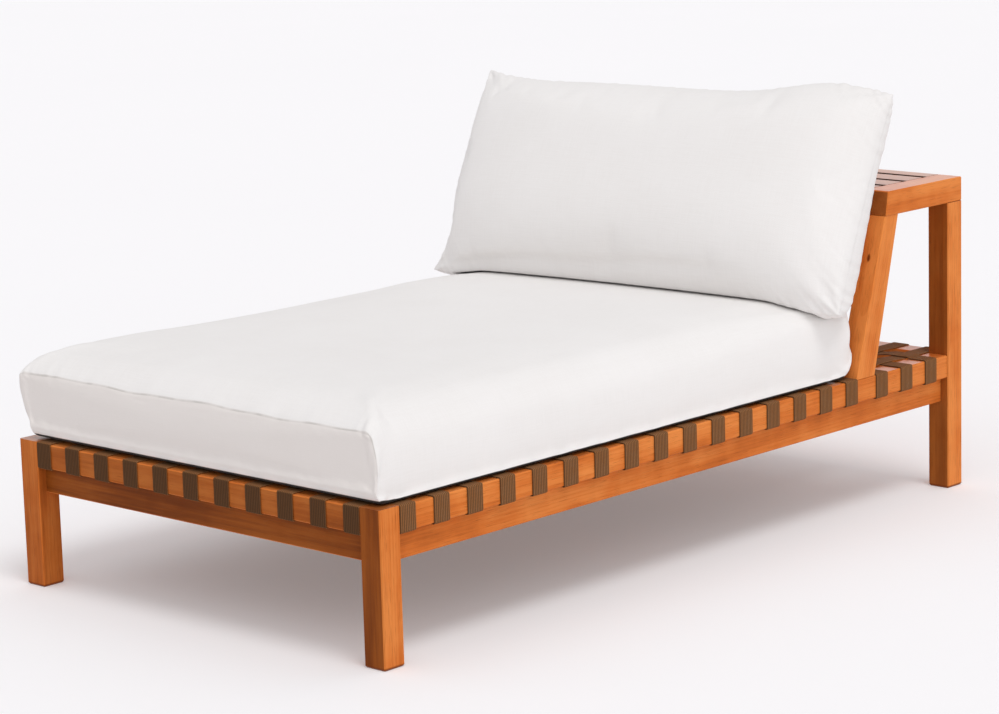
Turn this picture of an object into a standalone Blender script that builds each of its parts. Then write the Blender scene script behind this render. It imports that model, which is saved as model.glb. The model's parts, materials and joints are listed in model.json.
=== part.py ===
"""Chaise longue: hardwood frame, woven strap deck, slatted shelf and two loose cushions.

Metres, +Z up. X runs across the seat, Y from the foot end (-Y) to the head end (+Y).
The origin lies on the floor under the middle of the frame. Left is -X, right is +X.
"""
from math import acos, atan2, ceil, copysign, cos, hypot, pi, radians, sin

import bmesh
import bpy
from mathutils import Matrix, Vector
from mathutils.bvhtree import BVHTree

# Overall frame
FRAME_WIDTH = 0.974
FRAME_LENGTH = 1.728
FRONT_LEG_HEIGHT = 0.2875
SHELF_HEIGHT = 0.656
LEG_SECTION = 0.050
FOOT_CHAMFER = 0.005
ARRIS = 0.002
FIT = 0.0003

# Webbing straps
STRAP_WIDTH = 0.040
STRAP_THICKNESS = 0.0022
STRAP_TUCK = 0.024
LONG_STRAPS = 11
FRONT_CROSS_STRAPS = 16
REAR_CROSS_STRAPS = 3
REAR_STRAP_PITCH = 0.085
WEAVE_MARGIN = 0.003
WEAVE_RAMP = 0.007

# Rails
UPPER_RAIL_HEIGHT = 0.0475
LOWER_RAIL_HEIGHT = 0.050
LOWER_RAIL_THICKNESS = 0.031
TENON_LENGTH = 0.010
TENON_THICKNESS = 0.010
TENON_SHOULDER = 0.010

# Leaning back posts and the slats between them
POST_FOOT_FROM_HEAD = 0.3616
POST_FOOT_DEPTH = 0.060
POST_HEAD_DEPTH = 0.045
BACK_SLATS = 3
BACK_SLAT_WIDTH = 0.060
BACK_SLAT_THICKNESS = 0.020
BACK_SLAT_SETBACK = 0.008
BACK_SLAT_LOWEST = 0.070

# Shelf behind the back
SHELF_DEPTH = 0.2554
SHELF_SIDE_WIDTH = 0.058
SHELF_SIDE_HEIGHT = 0.050
SHELF_FRONT_SLANT = 0.008
SHELF_SLAT_THICKNESS = 0.022
SHELF_SLAT_WIDTH = 0.0585
SHELF_SLAT_GAP = 0.012
FULL_SHELF_SLATS = 3
SHELF_TENON_THICKNESS = 0.010

# Seat cushion, a boxed mattress with a rounded top
SEAT_WIDTH = 0.958
SEAT_SHIFT = -0.004
SEAT_CROWN = 0.166
SEAT_END_PANEL = 0.126
SEAT_FOOT_SETBACK = 0.010
SEAT_HEAD_CLEARANCE = 0.003
SEAT_WIDEST = 0.055
SEAT_FOOT_RUN = 0.100
SEAT_HEAD_RUN = 0.450
SEAT_END_BULGE = 0.010
SEAT_BOTTOM_ROUND = 0.024
SEAT_WAIST = 0.004
SEAT_TOP_SHOULDER = 6.0
SEAT_PANEL_SHOULDER = 12.0
SEAT_LOWER_SHOULDER = 7.0
SEAT_SIDES = 36
SEAT_RINGS = 22
SEAT_PANEL_RINGS = 3

# Back pillow, two panels sewn along one knife edge
PILLOW_WIDTH = 1.020
PILLOW_HEIGHT = 0.467
PILLOW_THICKNESS = 0.240
PILLOW_SIDE_DIP = 0.004
PILLOW_TOP_DIP = 0.022
PILLOW_BOTTOM_DIP = 0.004
PILLOW_FULL_ACROSS = 5.0
PILLOW_FULL_UP = 3.4
PILLOW_SWELL = 0.55
PILLOW_LEAN = radians(27.0)
PILLOW_YAW = radians(6.0)
PILLOW_ROLL = radians(0.8)
PILLOW_SIDES = 48
PILLOW_RINGS = 14
CUSHION_FIT = 0.0005
SETTLE_SPACING = 0.008
SETTLE_RETREAT = 0.020
SETTLE_ROUNDS = 5

# Sizes and places that follow from the driving dimensions
HALF_WIDTH = FRAME_WIDTH / 2
HALF_LENGTH = FRAME_LENGTH / 2
STRAP_RECESS = STRAP_THICKNESS + FIT
RAIL_FACE_X = HALF_WIDTH - STRAP_RECESS
RAIL_FACE_Y = HALF_LENGTH - STRAP_RECESS
INNER_X = HALF_WIDTH - LEG_SECTION
INNER_Y = HALF_LENGTH - LEG_SECTION
UPPER_RAIL_WIDTH = LEG_SECTION - STRAP_RECESS
UPPER_RAIL_TOP = FRONT_LEG_HEIGHT - STRAP_RECESS
UPPER_RAIL_BOTTOM = UPPER_RAIL_TOP - UPPER_RAIL_HEIGHT
LOWER_RAIL_TOP = UPPER_RAIL_BOTTOM - STRAP_THICKNESS - 2 * FIT
LOWER_RAIL_MIDDLE = LOWER_RAIL_TOP - LOWER_RAIL_HEIGHT / 2
STRAP_LIFT = FIT + STRAP_THICKNESS / 2
DECK_LEVEL = UPPER_RAIL_TOP + STRAP_LIFT
WEAVE_STEP = STRAP_THICKNESS + FIT
DECK_TOP = DECK_LEVEL + WEAVE_STEP + STRAP_THICKNESS / 2
SHELF_UNDERSIDE = SHELF_HEIGHT - SHELF_SIDE_HEIGHT
SHELF_FRONT = HALF_LENGTH - SHELF_DEPTH
POST_FRONT_FOOT = HALF_LENGTH - POST_FOOT_FROM_HEAD
POST_FRONT_HEAD = SHELF_FRONT - SHELF_FRONT_SLANT
POST_FOOT_LEVEL = UPPER_RAIL_TOP + FIT
POST_HEAD_LEVEL = SHELF_UNDERSIDE - FIT
POST_RISE = POST_HEAD_LEVEL - POST_FOOT_LEVEL
POST_FRONT_SLOPE = (POST_FRONT_HEAD - POST_FRONT_FOOT) / POST_RISE
POST_REAR_SLOPE = POST_FRONT_SLOPE - (POST_FOOT_DEPTH - POST_HEAD_DEPTH) / POST_RISE
POST_LEAN = atan2(POST_FRONT_HEAD - POST_FRONT_FOOT, POST_RISE)

parts = bpy.data.collections.new("chaise_longue")
cutters = bpy.data.collections.new("chaise_longue_cutters")


def clear_scene():
    """Remove whatever objects the file already holds."""
    for old in list(bpy.data.objects):
        bpy.data.objects.remove(old, do_unlink=True)


def finish(name, colour, roughness):
    """A Principled material in one linear colour."""
    material = bpy.data.materials.new(name)
    material.use_nodes = True
    shader = material.node_tree.nodes["Principled BSDF"]
    shader.inputs["Base Color"].default_value = (*colour, 1.0)
    shader.inputs["Roughness"].default_value = roughness
    shader.inputs["Metallic"].default_value = 0.0
    return material


def add_part(name, bm, material, place=Matrix.Identity(4)):
    """Turn a bmesh into a named part, placed by its matrix."""
    mesh = bpy.data.meshes.new(name)
    bm.to_mesh(mesh)
    bm.free()
    mesh.materials.append(material)
    part = bpy.data.objects.new(name, mesh)
    part.matrix_world = place
    part.parent = frame_root
    parts.objects.link(part)
    return part


def block(size):
    """A cube primitive scaled to a block about its own centre."""
    bm = bmesh.new()
    bmesh.ops.create_cube(bm, size=1.0, matrix=Matrix.Diagonal((*size, 1.0)))
    return bm


def edges_along(bm, axis):
    """The edges of a block that run along one axis."""
    return [e for e in bm.edges if abs((e.verts[1].co - e.verts[0].co).normalized()[axis]) > 0.99]


def ease(bm, edges, width=ARRIS):
    """Plane a small flat along the given edges."""
    bmesh.ops.bevel(bm, geom=edges, offset=width, segments=1, affect="EDGES", clamp_overlap=True)


def tenoned_bar(length, thickness, height, tenon):
    """A bar along X with eased arrises and a stub tenon, (length, thickness, height), on each end."""
    bm = block((length, thickness, height))
    ease(bm, edges_along(bm, 0))
    for side in (-1, 1):
        end = max(bm.faces, key=lambda f: side * f.calc_center_median().x)
        shoulder = bmesh.ops.extrude_discrete_faces(bm, faces=[end])["faces"][0]
        shrink = (1.0, tenon[1] / thickness, tenon[2] / height)
        bmesh.ops.scale(bm, vec=shrink, verts=shoulder.verts)
        tip = bmesh.ops.extrude_discrete_faces(bm, faces=[shoulder])["faces"][0]
        bmesh.ops.translate(bm, vec=(side * tenon[0], 0.0, 0.0), verts=tip.verts)
    bmesh.ops.recalc_face_normals(bm, faces=bm.faces)
    return bm


def cut_mortises(part, pockets):
    """Cut pockets, each a (matrix, size) box, into a part with one Boolean."""
    bm = bmesh.new()
    for place, size in pockets:
        roomy = [s + 2 * FIT for s in size]
        bmesh.ops.create_cube(bm, size=1.0, matrix=place @ Matrix.Diagonal((*roomy, 1.0)))
    mesh = bpy.data.meshes.new(part.name + "_mortises")
    bm.to_mesh(mesh)
    bm.free()
    cutter = bpy.data.objects.new(mesh.name, mesh)
    cutter.hide_render = True
    cutter.display_type = "WIRE"
    cutters.objects.link(cutter)
    cut = part.modifiers.new("mortises", "BOOLEAN")
    cut.operation = "DIFFERENCE"
    cut.object = cutter


def add_legs():
    """Front legs stop at the deck, rear legs run up to the shelf. Their feet are chamfered."""
    legs = {}
    out_x = HALF_WIDTH - LEG_SECTION / 2
    out_y = HALF_LENGTH - LEG_SECTION / 2
    for end, y_side, top in (("front", -1, FRONT_LEG_HEIGHT), ("rear", 1, SHELF_UNDERSIDE - FIT)):
        for side, x_side in (("left", -1), ("right", 1)):
            bm = block((LEG_SECTION, LEG_SECTION, top))
            ease(bm, edges_along(bm, 2))
            foot = min(bm.faces, key=lambda f: f.calc_center_median().z)
            ease(bm, list(foot.edges), FOOT_CHAMFER)
            place = Matrix.Translation((x_side * out_x, y_side * out_y, top / 2))
            legs[end, side] = add_part(f"leg_{end}_{side}", bm, timber, place)
    return legs


def rail_levels():
    """Each tier of rails: name, thickness, height, level of its middle and its inset from the leg face."""
    upper_middle = UPPER_RAIL_TOP - UPPER_RAIL_HEIGHT / 2
    yield "upper", UPPER_RAIL_WIDTH, UPPER_RAIL_HEIGHT, upper_middle, STRAP_RECESS + UPPER_RAIL_WIDTH / 2
    inset = LEG_SECTION - LOWER_RAIL_THICKNESS / 2
    yield "lower", LOWER_RAIL_THICKNESS, LOWER_RAIL_HEIGHT, LOWER_RAIL_MIDDLE, inset


def rail_tenon(height):
    """Length, thickness and height of a rail's stub tenon."""
    return TENON_LENGTH, TENON_THICKNESS, height - 2 * TENON_SHOULDER


def add_rails(legs):
    """Two tiers of four rails, tenoned into the legs. The straps wrap the upper tier."""
    pockets = {key: [] for key in legs}
    quarter = Matrix.Rotation(pi / 2, 4, "Z")
    for tier, thickness, height, level, inset in rail_levels():
        tenon = rail_tenon(height)
        for side, x_side in (("left", -1), ("right", 1)):
            length = 2 * (INNER_Y - FIT)
            place = Matrix.Translation((x_side * (HALF_WIDTH - inset), 0.0, level)) @ quarter
            add_part(f"{tier}_rail_{side}", tenoned_bar(length, thickness, height, tenon), timber, place)
            for end, y_side in (("front", -1), ("rear", 1)):
                seat = place @ Matrix.Translation((y_side * (length + tenon[0]) / 2, 0.0, 0.0))
                pockets[end, side].append((seat, tenon))
        for name, end, y_side in (("foot", "front", -1), ("head", "rear", 1)):
            length = 2 * (INNER_X - FIT)
            place = Matrix.Translation((0.0, y_side * (HALF_LENGTH - inset), level))
            add_part(f"{tier}_rail_{name}", tenoned_bar(length, thickness, height, tenon), timber, place)
            for side, x_side in (("left", -1), ("right", 1)):
                seat = place @ Matrix.Translation((x_side * (length + tenon[0]) / 2, 0.0, 0.0))
                pockets[end, side].append((seat, tenon))
    for key, leg in legs.items():
        cut_mortises(leg, pockets[key])


def add_stretcher():
    """A bar under the middle of the deck that holds the two long lower rails together."""
    length = 2 * (INNER_X - FIT)
    tenon = rail_tenon(LOWER_RAIL_HEIGHT)
    place = Matrix.Translation((0.0, 0.0, LOWER_RAIL_MIDDLE))
    bar = tenoned_bar(length, LOWER_RAIL_THICKNESS, LOWER_RAIL_HEIGHT, tenon)
    add_part("centre_stretcher", bar, timber, place)
    for side, x_side in (("left", -1), ("right", 1)):
        seat = place @ Matrix.Translation((x_side * (length + tenon[0]) / 2, 0.0, 0.0))
        cut_mortises(bpy.data.objects[f"lower_rail_{side}"], [(seat, tenon)])


def add_posts():
    """Leaning posts, tapered upwards, that stand on the side rails and carry the shelf's front."""
    posts = {}
    thickness = UPPER_RAIL_WIDTH
    for side, x_side in (("left", -1), ("right", 1)):
        bm = block((thickness, POST_FOOT_DEPTH, POST_RISE))
        taper = Vector((1.0, POST_HEAD_DEPTH / POST_FOOT_DEPTH, 1.0))
        head = [v for v in bm.verts if v.co.z > 0]
        bmesh.ops.scale(bm, vec=taper, verts=head)
        lean = POST_FRONT_HEAD + POST_HEAD_DEPTH / 2 - POST_FRONT_FOOT - POST_FOOT_DEPTH / 2
        bmesh.ops.translate(bm, vec=(0.0, lean, 0.0), verts=head)
        ease(bm, [e for e in bm.edges if abs(e.verts[0].co.z - e.verts[1].co.z) > POST_RISE / 2])
        middle = (
            x_side * (RAIL_FACE_X - thickness / 2),
            POST_FRONT_FOOT + POST_FOOT_DEPTH / 2,
            POST_FOOT_LEVEL + POST_RISE / 2,
        )
        posts[side] = add_part(f"back_post_{side}", bm, timber, Matrix.Translation(middle))
    return posts


def add_back_slats(posts):
    """Slats across the back, in the lean of the posts and tenoned into them."""
    length = 2 * (INNER_X - FIT)
    tenon = (TENON_LENGTH, TENON_THICKNESS, BACK_SLAT_WIDTH - 2 * TENON_SHOULDER)
    pockets = {side: [] for side in posts}
    highest = POST_RISE - BACK_SLAT_WIDTH
    for number in range(BACK_SLATS):
        rise = BACK_SLAT_LOWEST + (highest - BACK_SLAT_LOWEST) * number / (BACK_SLATS - 1)
        front = POST_FRONT_FOOT + POST_FRONT_SLOPE * rise + BACK_SLAT_SETBACK
        middle = (0.0, front + BACK_SLAT_THICKNESS / 2, POST_FOOT_LEVEL + rise)
        place = Matrix.Translation(middle) @ Matrix.Rotation(-POST_LEAN, 4, "X")
        bar = tenoned_bar(length, BACK_SLAT_THICKNESS, BACK_SLAT_WIDTH, tenon)
        add_part(f"back_slat_{number + 1}", bar, timber, place)
        for side, x_side in (("left", -1), ("right", 1)):
            seat = place @ Matrix.Translation((x_side * (length + tenon[0]) / 2, 0.0, 0.0))
            pockets[side].append((seat, tenon))
    for side, post in posts.items():
        cut_mortises(post, pockets[side])


def shelf_slat_spans():
    """Front and rear edge of each shelf slat. The last one fills up to the rear face."""
    pitch = SHELF_SLAT_WIDTH + SHELF_SLAT_GAP
    for number in range(FULL_SHELF_SLATS):
        front = SHELF_FRONT + pitch * number
        yield front, front + SHELF_SLAT_WIDTH
    yield SHELF_FRONT + pitch * FULL_SHELF_SLATS, HALF_LENGTH


def add_shelf():
    """Two side boards on the posts and rear legs, with slats tenoned between them, flush on top."""
    slat_half = HALF_WIDTH - SHELF_SIDE_WIDTH - FIT
    pockets = {"left": [], "right": []}
    for number, (front, rear) in enumerate(shelf_slat_spans(), 1):
        width = rear - front
        tenon = (TENON_LENGTH, width - 2 * TENON_SHOULDER, SHELF_TENON_THICKNESS)
        level = SHELF_HEIGHT - SHELF_SLAT_THICKNESS / 2
        place = Matrix.Translation((0.0, (front + rear) / 2, level))
        bar = tenoned_bar(2 * slat_half, width, SHELF_SLAT_THICKNESS, tenon)
        add_part(f"shelf_slat_{number}", bar, timber, place)
        for side, x_side in (("left", -1), ("right", 1)):
            seat = place @ Matrix.Translation((x_side * (slat_half + tenon[0] / 2), 0.0, 0.0))
            pockets[side].append((seat, tenon))
    for side, x_side in (("left", -1), ("right", 1)):
        bm = block((SHELF_SIDE_WIDTH, SHELF_DEPTH, SHELF_SIDE_HEIGHT))
        nose = [v for v in bm.verts if v.co.y < 0 and v.co.z < 0]
        bmesh.ops.translate(bm, vec=(0.0, -SHELF_FRONT_SLANT, 0.0), verts=nose)
        ease(bm, bm.edges[:])
        middle = (
            x_side * (HALF_WIDTH - SHELF_SIDE_WIDTH / 2),
            SHELF_FRONT + SHELF_DEPTH / 2,
            SHELF_UNDERSIDE + SHELF_SIDE_HEIGHT / 2,
        )
        board = add_part(f"shelf_side_{side}", bm, timber, Matrix.Translation(middle))
        cut_mortises(board, pockets[side])


def even_places(first, last, count):
    """Evenly spaced places from first to last, both counted."""
    return [first + (last - first) * n / (count - 1) for n in range(count)]


def cross_strap_places():
    """Y of each cross strap: even from the front leg to the post's foot, then on behind the post."""
    half = STRAP_WIDTH / 2 + FIT
    places = even_places(-INNER_Y + half, POST_FRONT_FOOT - half, FRONT_CROSS_STRAPS)
    behind = POST_FRONT_FOOT + POST_FOOT_DEPTH + POST_REAR_SLOPE * 2 * STRAP_RECESS + half
    return places + [behind + REAR_STRAP_PITCH * n for n in range(REAR_CROSS_STRAPS)]


def long_strap_places():
    """X of each long strap, the outer ones beside the legs."""
    edge = INNER_X - STRAP_WIDTH / 2 - FIT
    return even_places(-edge, edge, LONG_STRAPS)


def weave_levels(over, under_at_rail):
    """Heights of the upper and lower strap at a crossing, as (this strap, the other one).

    The two part evenly. Beside its rail the lower strap stays level and the upper one rises.
    """
    low = 0.0 if under_at_rail else -WEAVE_STEP / 2
    high = low + WEAVE_STEP
    return (high, low) if over else (low, high)


def wrap_round_rail(face):
    """Half of a strap's end, from its tuck under the rail to the rail's top, as (out, level)."""
    bend = ARRIS + STRAP_LIFT
    corner_out = face - ARRIS
    low = UPPER_RAIL_BOTTOM + ARRIS
    high = UPPER_RAIL_TOP - ARRIS
    points = [(face - STRAP_TUCK, UPPER_RAIL_BOTTOM - STRAP_LIFT)]
    for quarter, centre in ((-pi / 2, low), (0.0, high)):
        for step in range(3):
            turn = quarter + step * pi / 4
            points.append((corner_out + bend * cos(turn), centre + bend * sin(turn)))
    return points


def strap_path(face, inner, crossings):
    """Points (along, level) of a strap: wrapped on both rails and woven between them."""
    wrap = wrap_round_rail(face)
    path = [(-out, level) for out, level in wrap]
    half = STRAP_WIDTH / 2 + WEAVE_MARGIN
    for place, lift in crossings:
        start = max(place - half, -inner - WEAVE_MARGIN / 2)
        stop = min(place + half, inner + WEAVE_MARGIN / 2)
        if start < -inner:
            path.append((start - WEAVE_RAMP, DECK_LEVEL))
        path.append((start, DECK_LEVEL + lift))
        path.append((stop, DECK_LEVEL + lift))
        if stop > inner:
            path.append((stop + WEAVE_RAMP, DECK_LEVEL))
    first_level = path[len(wrap)][1]
    if first_level != DECK_LEVEL:
        path.insert(len(wrap), (-inner, DECK_LEVEL))
    if path[-1][1] != DECK_LEVEL:
        path.append((inner, DECK_LEVEL))
    return path + [(out, level) for out, level in reversed(wrap)]


def add_strap(name, path, place):
    """A ribbon drawn along a path in the XZ plane, given its thickness by Solidify."""
    bm = bmesh.new()
    near = [bm.verts.new((along, -STRAP_WIDTH / 2, level)) for along, level in path]
    spine = [bm.edges.new(pair) for pair in zip(near, near[1:])]
    grown = bmesh.ops.extrude_edge_only(bm, edges=spine)["geom"]
    far = [g for g in grown if isinstance(g, bmesh.types.BMVert)]
    bmesh.ops.translate(bm, vec=(0.0, STRAP_WIDTH, 0.0), verts=far)
    bmesh.ops.recalc_face_normals(bm, faces=bm.faces)
    strap = add_part(name, bm, webbing, place)
    wall = strap.modifiers.new("thickness", "SOLIDIFY")
    wall.thickness = STRAP_THICKNESS
    wall.offset = 0.0
    wall.use_even_offset = True


def add_straps():
    """The plain-woven deck: every crossing alternates over and under."""
    cross = cross_strap_places()
    long = long_strap_places()
    last_row = len(cross) - 1
    last_column = len(long) - 1
    cross_runs = [[] for _ in cross]
    long_runs = [[] for _ in long]
    for row, y in enumerate(cross):
        for column, x in enumerate(long):
            cross_over = (row + column) % 2 == 0
            at_rail = row in (0, last_row) if cross_over else column in (0, last_column)
            cross_lift, long_lift = weave_levels(cross_over, at_rail)
            cross_runs[row].append((x, cross_lift))
            long_runs[column].append((y, long_lift))
    quarter = Matrix.Rotation(pi / 2, 4, "Z")
    for row, y in enumerate(cross):
        path = strap_path(RAIL_FACE_X, INNER_X, cross_runs[row])
        add_strap(f"cross_strap_{row + 1:02d}", path, Matrix.Translation((0.0, y, 0.0)))
    for column, x in enumerate(long):
        path = strap_path(RAIL_FACE_Y, INNER_Y, long_runs[column])
        add_strap(f"long_strap_{column + 1:02d}", path, Matrix.Translation((x, 0.0, 0.0)) @ quarter)


def smooth_outward(bm):
    """Point the faces of a soft form outwards and shade them smooth."""
    bm.normal_update()
    bmesh.ops.recalc_face_normals(bm, faces=bm.faces)
    for face in bm.faces:
        face.smooth = True


def seat_section(angle, shoulder):
    """Unit outline of the seat's section: a superellipse, squarer where the shoulder is higher."""
    across = cos(angle)
    up = (1 - abs(across) ** shoulder) ** (1 / shoulder)
    return across, copysign(up, sin(angle))


def round_over(distance, radius):
    """How far a rounded edge of this radius falls away at a distance from its end."""
    inside = max(0.0, radius - distance)
    return radius - (radius ** 2 - inside ** 2) ** 0.5


def add_seat():
    """The mattress: rings of a sphere become its end panels and the sections between them."""
    bm = bmesh.new()
    bmesh.ops.create_uvsphere(bm, u_segments=SEAT_SIDES, v_segments=SEAT_RINGS, radius=1.0)
    base = DECK_TOP + CUSHION_FIT
    widest = base + SEAT_WIDEST
    foot = -HALF_LENGTH + SEAT_FOOT_SETBACK
    panel_low = base + SEAT_BOTTOM_ROUND - POST_FOOT_LEVEL
    head = POST_FRONT_FOOT + POST_FRONT_SLOPE * panel_low - SEAT_HEAD_CLEARANCE
    length = head - foot
    body_rings = SEAT_RINGS - 2 * SEAT_PANEL_RINGS
    for vert in bm.verts:
        ring = round(acos(max(-1.0, min(1.0, vert.co.z))) / pi * SEAT_RINGS)
        angle = atan2(vert.co.y, vert.co.x)
        panel = min(ring, SEAT_RINGS - ring, SEAT_PANEL_RINGS) / SEAT_PANEL_RINGS
        step = min(max(ring - SEAT_PANEL_RINGS, 0), body_rings) / body_rings
        along = length * (1 - cos(pi * step)) / 2
        from_end = min(along, length - along)
        run = SEAT_FOOT_RUN if ring < SEAT_RINGS / 2 else SEAT_HEAD_RUN
        near_end = max(0.0, 1 - from_end / run) ** 2
        shoulder = SEAT_TOP_SHOULDER + (SEAT_PANEL_SHOULDER - SEAT_TOP_SHOULDER) * near_end
        across, up = seat_section(angle, shoulder if sin(angle) > 0 else SEAT_LOWER_SHOULDER)
        crown = SEAT_CROWN - (SEAT_CROWN - SEAT_END_PANEL) * near_end
        drop = SEAT_WIDEST - round_over(from_end, SEAT_BOTTOM_ROUND)
        outward = -1 if ring < SEAT_RINGS / 2 else 1
        x = SEAT_SHIFT + panel * across * (SEAT_WIDTH / 2 - SEAT_WAIST * sin(pi * step))
        y = foot + along + outward * SEAT_END_BULGE * (1 - panel ** 2)
        z = widest + panel * up * (crown - SEAT_WIDEST if up > 0 else drop)
        vert.co = (x, y, z)
    smooth_outward(bm)
    return add_part("seat_cushion", bm, canvas)


def add_pillow():
    """The pillow: the sphere's equator becomes the sewn edge, its poles the front and back."""
    bm = bmesh.new()
    bmesh.ops.create_uvsphere(bm, u_segments=PILLOW_SIDES, v_segments=PILLOW_RINGS, radius=1.0)
    for vert in bm.verts:
        spread = min(1.0, hypot(vert.co.x, vert.co.y))
        angle = atan2(vert.co.y, vert.co.x)
        reach = max(abs(cos(angle)), abs(sin(angle)))
        across = spread * cos(angle) / reach
        up = spread * sin(angle) / reach
        swell = max(0.0, (1 - abs(across) ** PILLOW_FULL_ACROSS) * (1 - abs(up) ** PILLOW_FULL_UP))
        depth = PILLOW_THICKNESS / 2 * swell ** PILLOW_SWELL
        dip_x = PILLOW_SIDE_DIP * (1 - up ** 2) * across ** 2
        edge_dip = PILLOW_TOP_DIP if up > 0 else PILLOW_BOTTOM_DIP
        dip_z = edge_dip * (1 - across ** 2) * up ** 2
        x = across * PILLOW_WIDTH / 2 - copysign(dip_x, across)
        z = up * PILLOW_HEIGHT / 2 - copysign(dip_z, up)
        vert.co = (x, -copysign(depth, vert.co.z), z)
    smooth_outward(bm)
    turn = Matrix.Rotation(PILLOW_YAW, 4, "Z") @ Matrix.Rotation(-PILLOW_LEAN, 4, "X")
    turn = turn @ Matrix.Rotation(PILLOW_ROLL, 4, "Y")
    pillow = add_part("back_pillow", bm, canvas, turn)
    reach = [corner.x for corner in gathered([pillow])[0]]
    centring = -(min(reach) + max(reach)) / 2
    above = (centring, SHELF_FRONT - PILLOW_HEIGHT, SHELF_HEIGHT + PILLOW_HEIGHT)
    pillow.matrix_world = Matrix.Translation(above) @ turn
    return pillow


def gathered(pieces):
    """Corners and faces of several pieces together, in world space."""
    corners = []
    faces = []
    for piece in pieces:
        first = len(corners)
        corners += [piece.matrix_world @ v.co for v in piece.data.vertices]
        faces += [[first + index for index in face.vertices] for face in piece.data.polygons]
    return corners, faces


def edge_points(pieces):
    """Points close together along every edge of several pieces, in world space."""
    for piece in pieces:
        for edge in piece.data.edges:
            start, stop = (piece.matrix_world @ piece.data.vertices[i].co for i in edge.vertices)
            count = ceil((stop - start).length / SETTLE_SPACING)
            for step in range(count + 1):
                yield start.lerp(stop, step / max(count, 1))


def settle(piece, carriers, way):
    """Draw a loose piece clear, then move it one way until it lies a fit away from what carries it."""
    piece.matrix_world = Matrix.Translation(-way * SETTLE_RETREAT) @ piece.matrix_world
    ahead = BVHTree.FromPolygons(*gathered(carriers))
    itself = BVHTree.FromPolygons(*gathered([piece]))
    gaps = [ahead.ray_cast(point, way)[3] for point in edge_points([piece])]
    gaps += [itself.ray_cast(point, -way)[3] for point in edge_points(carriers)]
    nearest = min(gap for gap in gaps if gap is not None)
    piece.matrix_world = Matrix.Translation(way * (nearest - CUSHION_FIT)) @ piece.matrix_world


clear_scene()
bpy.context.scene.collection.children.link(parts)
bpy.context.scene.collection.children.link(cutters)
frame_root = bpy.data.objects.new("frame_root", None)
parts.objects.link(frame_root)
timber = finish("oiled_hardwood", (0.36, 0.125, 0.035), 0.45)
webbing = finish("woven_webbing", (0.045, 0.032, 0.020), 0.80)
canvas = finish("white_canvas", (0.80, 0.78, 0.75), 0.90)

legs = add_legs()
add_rails(legs)
add_stretcher()
posts = add_posts()
add_back_slats(posts)
add_shelf()
add_straps()
seat = add_seat()
pillow = add_pillow()
backrest = [bpy.data.objects[f"shelf_side_{side}"] for side in ("left", "right")]
backrest += [bpy.data.objects["shelf_slat_1"], *posts.values()]
for _ in range(SETTLE_ROUNDS):
    settle(pillow, [seat], Vector((0.0, 0.0, -1.0)))
    settle(pillow, backrest, Vector((0.0, 1.0, 0.0)))
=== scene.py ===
# %% [markdown]
# # A chaise longue in oiled hardwood, webbing and canvas
#
# The real object is a low hardwood frame whose upper rails are wrapped by a woven deck of
# webbing straps. A mattress lies loose on the deck, and a pillow leans on a slatted shelf.
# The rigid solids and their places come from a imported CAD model, which this lesson never
# moves. Here they get their grain, and the soft solids give way to sewn and filled pieces.
#
# All lengths are metres. X runs across the seat, Y from the foot end to the head end, Z up.

# %% Load the fixed frame
import json
from math import pi, radians

import bpy
import numpy as np
from mathutils import Matrix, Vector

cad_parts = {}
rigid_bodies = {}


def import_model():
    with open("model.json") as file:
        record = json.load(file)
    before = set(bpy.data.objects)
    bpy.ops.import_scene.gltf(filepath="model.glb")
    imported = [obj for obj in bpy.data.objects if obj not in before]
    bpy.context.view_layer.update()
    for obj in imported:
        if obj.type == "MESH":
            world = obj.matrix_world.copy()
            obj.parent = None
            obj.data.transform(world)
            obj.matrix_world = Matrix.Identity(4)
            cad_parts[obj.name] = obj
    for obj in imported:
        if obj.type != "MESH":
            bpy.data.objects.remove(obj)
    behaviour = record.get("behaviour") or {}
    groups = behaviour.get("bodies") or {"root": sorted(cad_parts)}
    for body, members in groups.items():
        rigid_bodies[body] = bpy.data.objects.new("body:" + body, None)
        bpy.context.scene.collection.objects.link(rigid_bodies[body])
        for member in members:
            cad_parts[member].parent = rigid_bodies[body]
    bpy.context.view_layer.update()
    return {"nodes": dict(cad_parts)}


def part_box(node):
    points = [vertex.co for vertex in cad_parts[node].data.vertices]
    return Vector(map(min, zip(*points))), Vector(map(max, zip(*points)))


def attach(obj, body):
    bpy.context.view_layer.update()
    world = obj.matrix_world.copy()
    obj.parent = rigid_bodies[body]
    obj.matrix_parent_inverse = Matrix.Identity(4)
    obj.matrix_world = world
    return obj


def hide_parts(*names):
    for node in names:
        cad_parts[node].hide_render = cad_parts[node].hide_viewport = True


for leftover in list(bpy.data.objects):
    bpy.data.objects.remove(leftover, do_unlink=True)
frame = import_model()
nodes = frame["nodes"]
X, Y, Z = range(3)


def span(node, axis):
    """Lowest and highest place of a CAD solid along one axis."""
    low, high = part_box(node)
    return low[axis], high[axis]


# %% [markdown]
# ## The camera
#
# The photograph was taken from the right of the foot end, a little above seat height, with a
# long lens. A camera is three angles, a place and a focal length. Heading turns it about
# the vertical, pitch tips it down and roll turns it about its own line of sight, so the
# matrix is a product of three turns after one move. No lens shift is needed.

# %% Camera at the photograph's place
IMAGE_WIDTH_PIXELS = 999
FOCAL_LENGTH_PIXELS = 3225.6
SENSOR_MM = 36.0
CAMERA_PLACE = (4.321, -4.633, 1.607)
CAMERA_HEADING = radians(43.21)
CAMERA_PITCH = radians(11.13)
CAMERA_ROLL = radians(-1.66)

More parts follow.
